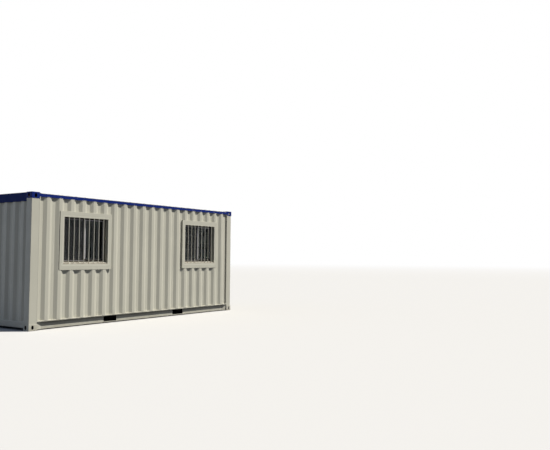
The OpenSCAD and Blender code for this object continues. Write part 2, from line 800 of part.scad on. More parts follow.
// Four hinges a leaf, each a folded strap on the leaf with a knuckle between two lugs on the post
module door_hinges() {
    count = 4;
    margin = 190;
    pitch = (door_head_z - door_low_z - 2 * margin) / (count - 1);
    pin_d = 17;
    pin_h = 90;
    lug_h = 14;
    lug_d = half_l - door_face_x;
    strap_t = 8;
    strap_w = pin_h - 2 * lug_h;
    pin_x = door_face_x + lug_d / 2;
    pin_y = door_w / 2 + 18;
    color(cream) both_sides() for (i = [0:count - 1])
        translate([0, 0, door_low_z + margin + i * pitch - pin_h / 2]) {
            translate([pin_x, pin_y, 0]) cylinder(d = pin_d, h = pin_h, $fn = gear_fn);
            for (z = [0, pin_h - lug_h]) translate([0, 0, z]) linear_extrude(lug_h) {
                translate([pin_x, pin_y]) circle(d = lug_d, $fn = gear_fn);
                translate([door_face_x, pin_y - 8]) square([lug_d / 2, 26]);
            }
            translate([0, 0, lug_h]) linear_extrude(strap_w) {
                translate([pin_x, pin_y]) circle(d = lug_d, $fn = gear_fn);
                sheet(bent([[leaf_face_x, leaf_w - 130], [leaf_face_x, leaf_w - 45],
                    [pin_x - strap_t / 2, leaf_w - 4], [pin_x - strap_t / 2, pin_y]], 10), strap_t);
            }
        }
}

// Rubber seal round each leaf, against the stop
module door_gaskets() {
    lip = 5;
    seal_w = 30;
    low = [1, door_low_z - lip];
    high = [leaf_w + 7, door_head_z + lip];
    color(rubber_black) both_sides() along_x(stop_x, leaf_back_x) difference() {
        polygon(corners(low, high));
        polygon(corners(low + seal_w * [1, 1], high - seal_w * [1, 1]));
    }
}

// Hooked blocks on the sill and the header that hold the cams of the lock rods
module cam_keepers() {
    wall = 10;
    w = 40;
    h = 60;
    depth = 48;
    color(galvanized) both_sides() for (s = [-1, 1], z = [rod_low_z + cam_mid, rod_high_z - cam_mid])
        translate([leaf_face_x, rod_mid_y + s * rod_gap / 2 + 34, z - h / 2]) along_y(0, w) difference() {
            polygon(bent([[0, 0], [depth, 0], [depth, h], [0, h]], 12));
            polygon(corners([8, wall], [36, h - wall]));
        }
}

bottom_side_rail(-1);  // bottom_side_rail_front
bottom_side_rail(1);  // bottom_side_rail_back
bottom_end_rail();
door_sill();
sill_end_plates();
cross_members();
fork_pocket(-1);  // fork_pocket_left
fork_pocket(1);  // fork_pocket_right
floor_panels();
bottom_fitting(-1, -1);  // bottom_fitting_front_left
bottom_fitting(1, -1);  // bottom_fitting_front_right
bottom_fitting(-1, 1);  // bottom_fitting_back_left
bottom_fitting(1, 1);  // bottom_fitting_back_right
top_fitting(-1, -1);  // top_fitting_front_left
top_fitting(1, -1);  // top_fitting_front_right
top_fitting(-1, 1);  // top_fitting_back_left
top_fitting(1, 1);  // top_fitting_back_right
blind_end_post(-1);  // front_left_post
blind_end_post(1);  // back_left_post
door_end_post(-1);  // front_right_post
door_end_post(1);  // back_right_post
top_side_rail(-1);  // top_side_rail_front
top_side_rail(1);  // top_side_rail_back
blind_end_header();
door_header();
roof_panel();
roof_corner_plates();
long_wall(-1);  // front_wall
long_wall(1);  // back_wall
blind_end_wall();
window_surround(-1, -1);  // front_left_surround
window_surround(1, -1);  // front_right_surround
window_surround(-1, 1);  // back_left_surround
window_surround(1, 1);  // back_right_surround
window_frames(-1);  // front_window_frames
window_sashes(-1);  // front_window_sashes
window_glass(-1);  // front_window_glass
window_frames(1);  // back_window_frames
window_sashes(1);  // back_window_sashes
window_glass(1);  // back_window_glass
door_leaf(-1);  // front_door_leaf
door_leaf(1);  // back_door_leaf
lock_rods(-1);  // front_door_lock_rods
lock_rods(1);  // back_door_lock_rods
door_hinges();
door_gaskets();
cam_keepers();
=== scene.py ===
"""A twenty foot steel cabin with barred windows, dressed piece by piece in the order in which it is built.
Everything is in metres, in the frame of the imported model: X runs along the cabin to its cargo doors, the
front wall faces -Y, and Z is up from the ground."""
import math

import bmesh
import bpy
import numpy as np
from mathutils import Matrix, Vector


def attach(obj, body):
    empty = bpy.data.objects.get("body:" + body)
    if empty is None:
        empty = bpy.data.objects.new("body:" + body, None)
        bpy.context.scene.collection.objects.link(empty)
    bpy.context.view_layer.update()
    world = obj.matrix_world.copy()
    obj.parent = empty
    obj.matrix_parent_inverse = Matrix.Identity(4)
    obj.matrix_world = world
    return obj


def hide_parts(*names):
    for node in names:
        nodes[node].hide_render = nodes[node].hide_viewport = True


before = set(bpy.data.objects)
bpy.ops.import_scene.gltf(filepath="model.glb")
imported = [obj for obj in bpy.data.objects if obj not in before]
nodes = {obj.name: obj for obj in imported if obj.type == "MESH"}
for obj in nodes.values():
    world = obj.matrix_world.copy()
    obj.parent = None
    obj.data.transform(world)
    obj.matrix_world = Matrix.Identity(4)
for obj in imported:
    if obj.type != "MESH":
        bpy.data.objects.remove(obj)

scene = bpy.context.scene
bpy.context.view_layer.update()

# Camera
# It stands ten metres out from the front wall and seven to the left of the blind end, at the height of
# a seated person's eyes, and looks past the cabin, which fills the left of the picture.
camera_place = (-10.2599, -11.4866, 1.4066)
camera_heading, camera_rise, camera_roll = -0.98181, 0.050225, 0.0073126
camera = bpy.data.objects.new("camera", bpy.data.cameras.new("camera"))
camera.data.lens = 41.43
camera.data.sensor_width = 36
camera.matrix_world = (
    Matrix.Translation(camera_place)
    @ Matrix.Rotation(camera_heading, 4, "Z")
    @ Matrix.Rotation(math.pi / 2 + camera_rise, 4, "X")
    @ Matrix.Rotation(camera_roll, 4, "Z")
)
scene.collection.objects.link(camera)
scene.camera = camera
scene.view_settings.view_transform = "Standard"


# Light
# A warm lamp stands for a high sun to the right of the camera. A pale bluish sky fills the shade, and a
# wide soft lamp stands for the brighter part of the sky behind the blind end.
def put(tree, kind, inputs=(), **settings):
    """Adds one shader node. An input is a number, a colour, or the output of another node."""
    node = tree.nodes.new(kind)
    for name, value in settings.items():
        setattr(node, name, value)
    for key, value in dict(inputs).items():
        if isinstance(value, bpy.types.NodeSocket):
            tree.links.new(value, node.inputs[key])
        else:
            node.inputs[key].default_value = value
    return node


def reckon(tree, operation, a, b=0.0):
    """One sum on one or two values, such as ABSOLUTE or MAXIMUM."""
    return put(tree, "ShaderNodeMath", {0: a, 1: b}, operation=operation).outputs[0]


def product(tree, first, *others):
    """All the values multiplied together."""
    for value in others:
        first = reckon(tree, "MULTIPLY", first, value)
    return first


def seen_share(tree):
    """One for rays from the camera, also off gloss or through glass, and nought for light that spreads."""
    rays = put(tree, "ShaderNodeLightPath").outputs
    mirrored = reckon(tree, "MAXIMUM", rays["Is Glossy Ray"], rays["Is Transmission Ray"])
    direct = reckon(tree, "LESS_THAN", rays["Diffuse Depth"], 0.5)
    return product(tree, reckon(tree, "MAXIMUM", rays["Is Camera Ray"], mirrored), direct)


def far_lamp(name, way, share, colour, spread):
    """A lamp far off in the direction of way, spread over that many degrees of the sky. A white surface
    square to it shines at that share of full white, for which a lamp's energy is pi times the share."""
    lamp = bpy.data.objects.new(name, bpy.data.lights.new(name, "SUN"))
    lamp.data.energy = share * math.pi
    lamp.data.color = colour
    lamp.data.angle = math.radians(spread)
    lamp.rotation_euler = Vector(way).to_track_quat("Z", "Y").to_euler()
    scene.collection.objects.link(lamp)


far_lamp("sun", way=(0.355, -0.418, 0.836), share=1.95, colour=(1.0, 0.97, 0.91), spread=1.0)
far_lamp("back_sky", way=(-0.72, 0.58, 0.38), share=0.14, colour=(0.60, 0.76, 1.10), spread=80)

white = (1, 1, 1, 1)
sky_colour = (0.66, 0.80, 1.12, 1.0)
sky_share = 0.155
scene.world = bpy.data.worlds.new("sky")
scene.world.use_nodes = True
sky = scene.world.node_tree
sky.nodes.clear()
fill = put(sky, "ShaderNodeBackground", {"Color": sky_colour, "Strength": sky_share})
blank = put(sky, "ShaderNodeBackground", {"Color": white, "Strength": 1.0})
both = put(sky, "ShaderNodeMixShader", {0: seen_share(sky), 1: fill.outputs[0], 2: blank.outputs[0]})
put(sky, "ShaderNodeOutputWorld", {"Surface": both.outputs[0]})


# Floor
# A plain pale studio floor under the fittings. It shows pale and keeps the cabin's shadow, sends back only
# as much light as a yard would, and goes over into the white background far out.
def shown(red, green, blue):
    """The linear colour that shows as these screen values of 0 to 255: ((c + 0.055) / 1.055) to the 2.4."""
    return tuple((((c / 255) + 0.055) / 1.055) ** 2.4 for c in (red, green, blue)) + (1.0,)


def mixed(tree, share, a, b):
    """Colour a where the share is nought and colour b where it is one."""
    node = put(tree, "ShaderNodeMix", {0: share, 6: a, 7: b}, data_type="RGBA")
    return node.outputs[2]


def risen(tree, value, low, high, top=1.0):
    """Nought up to low, top from high on, and a smooth step between. A low above high turns it round."""
    step = {0: value, 1: low, 2: high, 4: top}
    return put(tree, "ShaderNodeMapRange", step, interpolation_type="SMOOTHSTEP").outputs[0]


floor_reach, floor_sink = 260.0, 0.0005
floor_fade = (25.0, 120.0)
floor_pale, floor_yard = shown(190, 189, 187), shown(86, 87, 90)
floor_mesh = bpy.data.meshes.new("floor")
floor_corners = np.array([[-1, -1], [1, -1], [1, 1], [-1, 1]]) * floor_reach
floor_mesh.from_pydata(np.hstack([floor_corners, np.full((4, 1), -floor_sink)]).tolist(), [], [[0, 1, 2, 3]])
floor = bpy.data.objects.new("floor", floor_mesh)
scene.collection.objects.link(floor)
floor_paint = bpy.data.materials.new("floor")
floor_paint.use_nodes = True
tree = floor_paint.node_tree
tree.nodes.clear()
seen = seen_share(tree)
place = put(tree, "ShaderNodeTexCoord").outputs["Object"]
distance = put(tree, "ShaderNodeVectorMath", {0: place}, operation="LENGTH").outputs["Value"]
ground = put(tree, "ShaderNodeBsdfDiffuse", {"Color": mixed(tree, seen, floor_yard, floor_pale)})
glow = put(tree, "ShaderNodeEmission", {"Color": white, "Strength": 1.0})
far_share = product(tree, risen(tree, distance, *floor_fade), seen)
surface = put(tree, "ShaderNodeMixShader", {0: far_share, 1: ground.outputs[0], 2: glow.outputs[0]})
put(tree, "ShaderNodeOutputMaterial", {"Surface": surface.outputs[0]})
floor.data.materials.append(floor_paint)


# Base frame
# The folded bottom rails, the end rail under the blind end and the sill under the cargo doors are pressed
# steel, welded between the corner fittings and sprayed cream with the rest of the body.
def blank_material(name):
    """A new material, its node tree, its surface shader and the place on the object in metres."""
    material = bpy.data.materials.new(name)
    material.use_nodes = True
    tree = material.node_tree
    tree.nodes.clear()
    shader = put(tree, "ShaderNodeBsdfPrincipled")
    put(tree, "ShaderNodeOutputMaterial", {"Surface": shader.outputs[0]})
    return material, tree, shader, put(tree, "ShaderNodeTexCoord").outputs["Object"]


def split(tree, vector):
    """The X, Y and Z of a place or a direction."""
    return put(tree, "ShaderNodeSeparateXYZ", {0: vector}).outputs


def stretched(tree, place, sizes):
    """The place with each of its axes multiplied, which draws a pattern out where the number is small."""
    return put(tree, "ShaderNodeMapping", {"Vector": place, "Scale": sizes}).outputs[0]


def clouds(tree, place, scale=1.0, detail=3.0):
    """Soft noise round one half, with scale blots to the metre."""
    node = put(tree, "ShaderNodeTexNoise", {"Vector": place, "Scale": scale, "Detail": detail})
    return node.outputs[0]


def raised(tree, height, depth, under=None):
    """Bump of the given depth in metres where height is one, on top of the bump under it."""
    inputs = {"Height": height, "Distance": depth}
    if under is not None:
        inputs["Normal"] = under
    return put(tree, "ShaderNodeBump", inputs).outputs[0]


def toned(colour, share):
    """The same colour, lighter or darker."""
    return tuple(c * share for c in colour[:3]) + (1.0,)


def finished(tree, shader, colour, roughness, skin=None, **values):
    """Joins a colour, a roughness and a bump to the shader. Each further value is a number for the socket of
    that name, with its spaces written as underscores."""
    tree.links.new(colour, shader.inputs["Base Color"])
    if isinstance(roughness, bpy.types.NodeSocket):
        tree.links.new(roughness, shader.inputs["Roughness"])
    else:
        shader.inputs["Roughness"].default_value = roughness
    if skin is not None:
        tree.links.new(skin, shader.inputs["Normal"])
    for name, value in values.items():
        shader.inputs[name.replace("_", " ")].default_value = value


cream = shown(185, 183, 169)
road_dust = shown(150, 141, 122)
rain_dirt = shown(128, 124, 108)
settled_dust = shown(126, 115, 103)
# A dark brown for grime together with painted shade in recesses and corners.
shade_and_grime = shown(66, 60, 52)
rust_brown = shown(112, 66, 38)
sill_corner, sill_edge = (1.170, 1.154), (1.198, 1.206)
stain_height = 0.010
ripple_length = 0.006
peel_depth = 0.00008


def coated_steel(name, colour, buckle=0.0, rain=0.0, dust_top=0.0, rust=0.0, cast=0.0, ripples=0.0,
                 shine=0.25, settled=0.0, foot=0.0):
    """Satin paint on steel. Its tone drifts from patch to patch, rain leaves thin runs down it, dust fades
    out up to dust_top or has settled on the faces that look up, a sill is darkened with grime and painted
    shade where it is deepest and with grime along its edge, rust pricks through in specks and stains the
    steel up to the height foot, darkened there also as painted shade, and its skin is orange peel over the
    sheet's buckles, the grain of a casting or the ripples of a weld (metres deep)."""
    material, tree, shader, place = blank_material(name)
    height = split(tree, place)[2]
    patches = risen(tree, clouds(tree, place, scale=1.3), 0.36, 0.64)
    tone = mixed(tree, patches, toned(colour, 0.975), toned(colour, 1.02))
    if rain:
        runs = clouds(tree, stretched(tree, place, (21, 21, 0.7)), detail=5.0)
        tone = mixed(tree, risen(tree, runs, 0.52, 0.80, top=rain), tone, rain_dirt)
    if dust_top:
        low_down = risen(tree, height, dust_top, 0.0)
        blown = risen(tree, clouds(tree, place, scale=6.0, detail=5.0), 0.34, 0.66, top=0.35)
        tone = mixed(tree, product(tree, low_down, blown), tone, road_dust)
    if settled:
        level = risen(tree, split(tree, put(tree, "ShaderNodeNewGeometry").outputs["Normal"])[2], 0.5, 0.8)
        drifted = risen(tree, clouds(tree, place, scale=11.0, detail=4.0), 0.30, 0.62, top=settled)
        tone = mixed(tree, product(tree, level, drifted), tone, settled_dust)
        # Grime and painted shade at the back of a sill by the frame, and grime along its front edge.
        outward = reckon(tree, "ABSOLUTE", split(tree, place)[1])
        lodged_grime_and_shade = reckon(tree, "MAXIMUM", risen(tree, outward, *sill_corner, top=0.9),
                        risen(tree, outward, *sill_edge, top=0.55))
        tone = mixed(tree, product(tree, level, lodged_grime_and_shade), tone, shade_and_grime)
    if rust:
        specks = risen(tree, clouds(tree, place, scale=110.0, detail=2.0), 0.70, 0.75)
        where = risen(tree, clouds(tree, place, scale=3.1, detail=2.0), 0.50, 0.62, top=rust)
        tone = mixed(tree, product(tree, specks, where), tone, rust_brown)
    if foot:
        # Rust stain up to the height foot, darkened there also as painted shade.
        stained_and_shaded = risen(tree, height, foot, foot - stain_height, top=0.85)
        bleeding = risen(tree, clouds(tree, place, scale=70.0), 0.30, 0.60)
        tone = mixed(tree, product(tree, stained_and_shaded, bleeding), tone, rust_brown)
    gloss = risen(tree, clouds(tree, place, scale=9.0, detail=4.0), 0.3, 0.7, top=0.14)
    skin = raised(tree, clouds(tree, place, scale=620.0, detail=1.0), peel_depth)
    if buckle:
        dents = clouds(tree, stretched(tree, place, (1, 1, 0.6)), scale=2.3, detail=1.0)
        skin = raised(tree, dents, buckle, skin)
    if cast:
        skin = raised(tree, clouds(tree, place, scale=140.0), cast, skin)
    if ripples:
        run = put(tree, "ShaderNodeAttribute", attribute_name="run").outputs["Fac"]
        wave = reckon(tree, "SINE", product(tree, run, 2 * math.pi / ripple_length))
        skin = raised(tree, wave, ripples, skin)
    finished(tree, shader, tone, reckon(tree, "ADD", gloss, 0.40), skin, Specular_IOR_Level=shine)
    return material


def dress(material, *names):
    """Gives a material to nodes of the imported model."""
    for name in names:
        nodes[name].data.materials.clear()
        nodes[name].data.materials.append(material)


def painted_over(material):
    """What it takes to paint over a material: its tree, its surface shader, its colour so far, and the place
    on the object as a whole and as X, Y and Z."""
    tree = material.node_tree
    shader = next(node for node in tree.nodes if node.type == "BSDF_PRINCIPLED")
    colour = shader.inputs["Base Color"].links[0].from_socket
    place = put(tree, "ShaderNodeTexCoord").outputs["Object"]
    return (tree, shader, colour, place, *split(tree, place))


frame_cream = coated_steel("frame_cream", toned(cream, 0.97), rain=0.05, dust_top=0.22, rust=0.4)
# The rails take a darker cream than the posts and the door sill, as painted shade for their low, shaded
# place.
rail_cream = coated_steel("rail_cream", toned(cream, 0.93), rain=0.05, dust_top=0.22, rust=0.4)
dress(frame_cream, "door_sill", "sill_end_plates")
dress(rail_cream, "bottom_side_rail_front", "bottom_side_rail_back", "bottom_end_rail")

# Up under the lip the side rails' webs are darkened with a dark brown, partly dirt and partly painted shade
# of the recess.
tree, shader, colour, place, x, y, z = painted_over(rail_cream)
under_lip_shade_and_dirt = product(
    tree,
    risen(tree, z, 0.090, 0.165, top=0.85),
    risen(tree, reckon(tree, "ABSOLUTE", y), 1.180, 1.175),
    risen(tree, reckon(tree, "ABSOLUTE", x), 2.853, 2.851),
)
tree.links.new(mixed(tree, under_lip_shade_and_dirt, colour, shade_and_grime), shader.inputs["Base Color"])

# Cross members and fork pockets
# Pressed channels run from rail to rail under the floor, with two closed pockets for a forklift's tines.
# They are coated with black wax, which the yard's dust clings to.
wax_black, wax_dust = shown(30, 29, 28), shown(92, 86, 76)
wax, tree, shader, place = blank_material("wax_coat")
clinging = risen(tree, clouds(tree, place, scale=7.0, detail=5.0), 0.46, 0.70, top=0.55)
drips = raised(tree, clouds(tree, place, scale=46.0), 0.0012)
finished(tree, shader, mixed(tree, clinging, wax_black, wax_dust), reckon(tree, "ADD", clinging, 0.42), drips)
dress(wax, "cross_members", "fork_pocket_left", "fork_pocket_right")

# Floor panels
# Marine plywood in two rows of panels over the cross members. The face grain runs along the cabin, and
# boots and pallets have rubbed it dull.
ply_light, ply_dark, ply_worn = shown(158, 122, 86), shown(104, 74, 50), shown(126, 108, 88)
plywood, tree, shader, place = blank_material("floor_plywood")
grain = clouds(tree, stretched(tree, place, (2.2, 46, 46)), detail=6.0)
tone = mixed(tree, risen(tree, grain, 0.34, 0.66), ply_dark, ply_light)
worn = risen(tree, clouds(tree, place, scale=2.4, detail=4.0), 0.45, 0.62, top=0.7)
finished(tree, shader, mixed(tree, worn, tone, ply_worn), reckon(tree, "ADD", worn, 0.25),
         raised(tree, grain, 0.0006))
dress(plywood, "floor_panels")

# Corner fittings
# Eight hollow steel castings with holes for locks and hooks. They are welded into the corners of the frame
# and painted with it: cream at the bottom, royal blue at the top. Their inside is coloured a dark brown, bare
# steel with painted shade.
fitting_inner_x, fitting_outer_x = 2.851, 3.029
fitting_inner_y, fitting_outer_y = 1.057, 1.219
fitting_tall, top_fitting_z = 0.118, 2.473
paint_reach, paint_fade = 0.010, 0.002


def dark_inside(material, low_z, bare_and_shade):
    """Gives a dark colour, bare steel with painted shade, to what lies more than a centimetre inside a
    fitting's block, from low_z up.
    """
    tree, shader, painted, place, x, y, z = painted_over(material)
    block = ((x, fitting_inner_x, fitting_outer_x), (y, fitting_inner_y, fitting_outer_y),
             (z, low_z, low_z + fitting_tall))
    share = 1.0
    for value, low, high in block:
        value = reckon(tree, "ABSOLUTE", value)
        low, high = low + paint_reach, high - paint_reach
        within = risen(tree, value, low, low + paint_fade), risen(tree, value, high, high - paint_fade)
        share = product(tree, *within, share)
    tree.links.new(mixed(tree, share, painted, bare_and_shade), shader.inputs["Base Color"])


def rounded(name, radius, turn=35.0):
    """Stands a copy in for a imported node: its doubled points are merged, and each edge where the surface
    turns by more than that many degrees is rounded by the radius in metres. Normals are weighed by area, so
    that flat faces stay flat."""
    mesh = nodes[name].data.copy()
    solid = bmesh.new()
    solid.from_mesh(mesh)
    bmesh.ops.remove_doubles(solid, verts=solid.verts, dist=0.00001)
    solid.to_mesh(mesh)
    solid.free()
    mesh.shade_smooth()
    piece = bpy.data.objects.new(name + "_rounded", mesh)
    scene.collection.objects.link(piece)
    edge = piece.modifiers.new("edge", "BEVEL")
    edge.width = radius
    edge.segments = 2
    edge.limit_method = "ANGLE"
    edge.angle_limit = math.radians(turn)
    even = piece.modifiers.new("even", "WEIGHTED_NORMAL")
    even.mode = "FACE_AREA"
    even.weight = 100
    even.keep_sharp = False
    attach(piece, "root")
    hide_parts(name)


royal_blue, blue_shine = shown(20, 38, 105), 0.06
bare_shaded_casting, casting_edge = shown(38, 32, 27), 0.003
cast_cream = coated_steel("cast_cream", toned(cream, 0.95), dust_top=0.30, rust=0.8, cast=0.0009)
cast_blue = coated_steel("cast_blue", royal_blue, rust=0.35, cast=0.0009, shine=blue_shine)
dark_inside(cast_cream, 0.0, bare_shaded_casting)
dark_inside(cast_blue, top_fitting_z, bare_shaded_casting)
corners = [side + "_" + end for side in ("front", "back") for end in ("left", "right")]
dress(cast_cream, *["bottom_fitting_" + corner for corner in corners])
dress(cast_blue, *["top_fitting_" + corner for corner in corners])
for corner in corners:
    rounded("bottom_fitting_" + corner, casting_edge)
    rounded("top_fitting_" + corner, casting_edge)

# Posts
# Four pressed corner posts carry the top frame. Those at the cargo doors are wider, with a stop that the
# doors close against.
dress(frame_cream, "front_left_post", "back_left_post", "front_right_post", "back_right_post")

# Top frame
# Square tubes along the long sides and pressed headers across the ends, painted royal blue. The headers
# take a duller blue with less sheen, as painted shade.
sheet_edge = 0.0015
frame_blue = coated_steel("frame_blue", royal_blue, rain=0.05, rust=0.2, buckle=0.0006, shine=blue_shine)
# The headers' duller blue is painted shade.
shaded_header_blue = coated_steel("shaded_header_blue", shown(26, 41, 92), rain=0.03, rust=0.2, buckle=0.0006, shine=0.02)
dress(frame_blue, "top_side_rail_front", "top_side_rail_back", "roof_corner_plates")
dress(shaded_header_blue, "blind_end_header", "door_header")
rounded("blind_end_header", sheet_edge)
rounded("door_header", sheet_edge)

# Roof
# Sheets stamped with cross ridges that run off before the rails, so that rain leaves by the long sides.
# They are welded edge to edge and keep a film of dust.
roof_cream = coated_steel("roof_cream", toned(cream, 0.97), buckle=0.002, rust=0.3)
dress(roof_cream, "roof_panel")

# Wall sheets
# Corrugated sheet two millimetres thick, in panels butted and welded upright, and welded to the rails and
# posts all round.
wall_cream = coated_steel("wall_cream", cream, buckle=0.0007, rain=0.07, dust_top=0.32, rust=0.1)
dress(wall_cream, "front_wall", "back_wall", "blind_end_wall")

# Window surrounds
# A pressed box welded into each opening, with a sloping sill and a liner that holds the window. The liner's
# lip laps over the box's face all round the opening. It is mitred at its corners and drawn on the flat face
# as a lighter strip, a painted highlight that is strongest at the foot.
window_middles = (-1.732, 1.772)
opening_half, sill_z, head_z = 0.5525, 1.246, 2.161
lip_wide, joint_wide, drip_shade_deep, blur = 0.038, 0.003, 0.015, 0.001
sill_edge_z, face_starts = 1.250, (1.2145, 1.2155)
mitre_fades, drip_shade_fades = (0.0025, 0.0015), (0.016, 0.011)


def beyond(tree, value, middle, half):
    """How far a value lies outside the span of half to either side of the middle, below nought inside."""
    return reckon(tree, "SUBTRACT", reckon(tree, "ABSOLUTE", reckon(tree, "SUBTRACT", value, middle)), half)


def lipped(material, lip_highlight, joint, drip_and_shade):
    """Gives a lighter colour, a painted highlight, to the strip that frames each opening on the outer face,
    most of all at the foot, and the colour joint to the line outside it and along the mitres. Under the
    sill's edge lies a darker band in blots, grime with painted shade, with the strip below it."""
    tree, shader, painted, place, x, y, z = painted_over(material)
    centre, reach = sum(window_middles) / 2, (window_middles[1] - window_middles[0]) / 2
    from_centre = reckon(tree, "ABSOLUTE", reckon(tree, "SUBTRACT", x, centre))
    beside = beyond(tree, from_centre, reach, opening_half)
    above = beyond(tree, z, (head_z + sill_z) / 2, (head_z - sill_z) / 2)
    below = reckon(tree, "LESS_THAN", z, sill_edge_z)
    outside = reckon(tree, "MAXIMUM", beside, above)
    away = reckon(tree, "SUBTRACT", outside, product(tree, below, drip_shade_deep))
    face = risen(tree, reckon(tree, "ABSOLUTE", y), *face_starts)
    on_lip = product(tree, face, risen(tree, away, lip_wide + blur, lip_wide))
    joint_end = lip_wide + joint_wide
    edge = product(tree, risen(tree, away, lip_wide, lip_wide + blur),
                   risen(tree, away, joint_end + blur, joint_end, top=0.5), face)
    skew = reckon(tree, "ABSOLUTE", reckon(tree, "SUBTRACT", beside, above))
    mitre = product(tree, risen(tree, skew, *mitre_fades, top=0.5), on_lip)
    # The strip is lighter towards the foot, a painted highlight.
    lit_more_at_foot = reckon(tree, "ADD", risen(tree, z, head_z, sill_z, top=0.5), 0.5)
    tone = mixed(tree, product(tree, on_lip, lit_more_at_foot), painted, lip_highlight)
    tone = mixed(tree, reckon(tree, "MAXIMUM", mitre, edge), tone, joint)
    # Under the sill's edge a blotchy brown band is painted: grime dripped off the sill, with the sill's
    # shadow as painted shade.
    blots = reckon(tree, "ADD", risen(tree, clouds(tree, place, scale=24.0), 0.34, 0.62, top=0.45), 0.2)
    dripped_and_shaded = product(tree, below, risen(tree, outside, *drip_shade_fades), face, blots)
    tree.links.new(mixed(tree, dripped_and_shaded, tone, drip_and_shade), shader.inputs["Base Color"])


surround_cream = coated_steel("surround_cream", toned(cream, 0.985), rain=0.10, rust=0.1, settled=0.5)
# A lighter cream for the lip, as painted highlight, and a brown under the sill for grime with painted shade.
lipped(surround_cream, toned(cream, 1.11), rain_dirt, shown(92, 76, 58))
dress(surround_cream, *[corner + "_surround" for corner in corners])
for corner in corners:
    rounded(corner + "_surround", sheet_edge)


# Welds
# Beads laid by hand where sheets, rails, posts and surrounds meet, painted over with the body. Each is a
# low oval string a few millimetres wide, with a ripple at every step of the torch.
def stepped(points, step):
    """Points along a line of straight legs, at most a step apart, with its corners kept."""
    points = np.asarray(points, float)
    legs = np.linalg.norm(np.diff(points, axis=0), axis=1)
    pieces = np.maximum(1, np.ceil(legs / step)).astype(int)
    shares = np.concatenate([leg + np.arange(n) / n for leg, n in enumerate(pieces)] + [[len(legs)]])
    return np.stack([np.interp(shares, np.arange(len(points)), points[:, axis]) for axis in range(3)], axis=1)


def carried(path, out, across, proud, corners=8, closed=False):
    """An oval section carried along a path. A corner at angle a lies at the path's point plus proud times
    cos a towards out, plus across times sin a to the side, square to out and to the way the path runs. The
    first angle is half a step, so that four corners make an upright box."""
    ahead = np.roll(path, -1, axis=0) - np.roll(path, 1, axis=0) if closed else np.gradient(path, axis=0)
    ahead = ahead / np.linalg.norm(ahead, axis=1, keepdims=True)
    out = np.broadcast_to(np.asarray(out, float), path.shape)
    out = out - (out * ahead).sum(axis=1, keepdims=True) * ahead
    out = out / np.linalg.norm(out, axis=1, keepdims=True)
    side = np.cross(ahead, out)
    turn = ((np.arange(corners) + 0.5) * 2 * np.pi / corners)[None, :, None]
    up = np.cos(turn) * out[:, None] * np.reshape(proud, (-1, 1, 1))
    rings = path[:, None] + up + np.sin(turn) * side[:, None] * np.reshape(across, (-1, 1, 1))
    return rings[None], closed


def add_piece(name, tubes, material, crease):
    """One piece from closed tubes. A tube's places are an array of (copies, stations, corners, 3): quads
    join neighbouring stations and corners, and its ends are closed by a flat face or joined to each other.
    Edges that turn by more than crease degrees stay sharp. The attribute run holds the length along each
    tube."""
    places, runs, faces, start = [], [], [], 0
    for rings, closed in tubes:
        copies, stations, corners, _ = rings.shape
        spot = start + np.arange(copies * stations * corners).reshape(copies, stations, corners)
        ahead = np.roll(spot, -1, axis=1) if closed else spot[:, 1:]
        here = spot if closed else spot[:, :-1]
        quads = np.stack([here, np.roll(here, -1, axis=2), np.roll(ahead, -1, axis=2), ahead], axis=-1)
        faces += quads.reshape(-1, 4).tolist()
        if not closed:
            faces += spot[:, 0, ::-1].tolist() + spot[:, -1].tolist()
        middles = rings.mean(axis=2)
        legs = np.linalg.norm(np.diff(middles, axis=1, prepend=middles[:, :1]), axis=2)
        runs.append(np.repeat(np.cumsum(legs, axis=1)[..., None], corners, axis=2).ravel())
        places.append(rings.reshape(-1, 3))
        start += spot.size
    mesh = bpy.data.meshes.new(name)
    mesh.from_pydata(np.concatenate(places).tolist(), [], faces)
    mesh.attributes.new("run", "FLOAT", "POINT").data.foreach_set("value", np.concatenate(runs))
    loose = bmesh.new()
    loose.from_mesh(mesh)
    bmesh.ops.recalc_face_normals(loose, faces=loose.faces)
    loose.to_mesh(mesh)
    loose.free()
    mesh.shade_smooth()
    mesh.set_sharp_from_angle(angle=math.radians(crease))
    mesh.materials.append(material)
    piece = bpy.data.objects.new(name, mesh)
    scene.collection.objects.link(piece)
    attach(piece, "root")


bead_step, bead_taper = 0.022, 0.006
long_wave, short_wave = 0.019, 0.0071


def bead(points, out, size=0.0035, low=1.0, closed=False):
    """A weld bead along points. Its size swells and shrinks by a tenth in two slow waves, as a hand does,
    and it runs out to a third at its ends. Low under one makes it flatter than it is wide."""
    path = stepped(points, bead_step)
    if closed:
        path = path[:-1]
    run = np.cumsum(np.linalg.norm(np.diff(path, axis=0, prepend=path[:1]), axis=1))
    swell = 1 + 0.06 * np.sin(run / long_wave) + 0.05 * np.sin(run / short_wave + path[0, 0] * 9)
    if not closed:
        swell = swell * np.clip(0.3 + np.minimum(run, run[-1] - run) / bead_taper, 0.3, 1.0)
    return carried(path, out, size * swell, size * swell * low, closed=closed)


def upright(x, y, low, high):
    """The two ends of an upright line."""
    return [(x, y, low), (x, y, high)]


def mirrored(tubes, *axes):
    """The tubes and their mirror images across the middle of each axis named, 0 for X and 1 for Y."""
    for axis in axes:
        turn = np.where(np.arange(3) == axis, -1.0, 1.0)
        tubes = tubes + [(rings * turn, closed) for rings, closed in tubes]
    return tubes


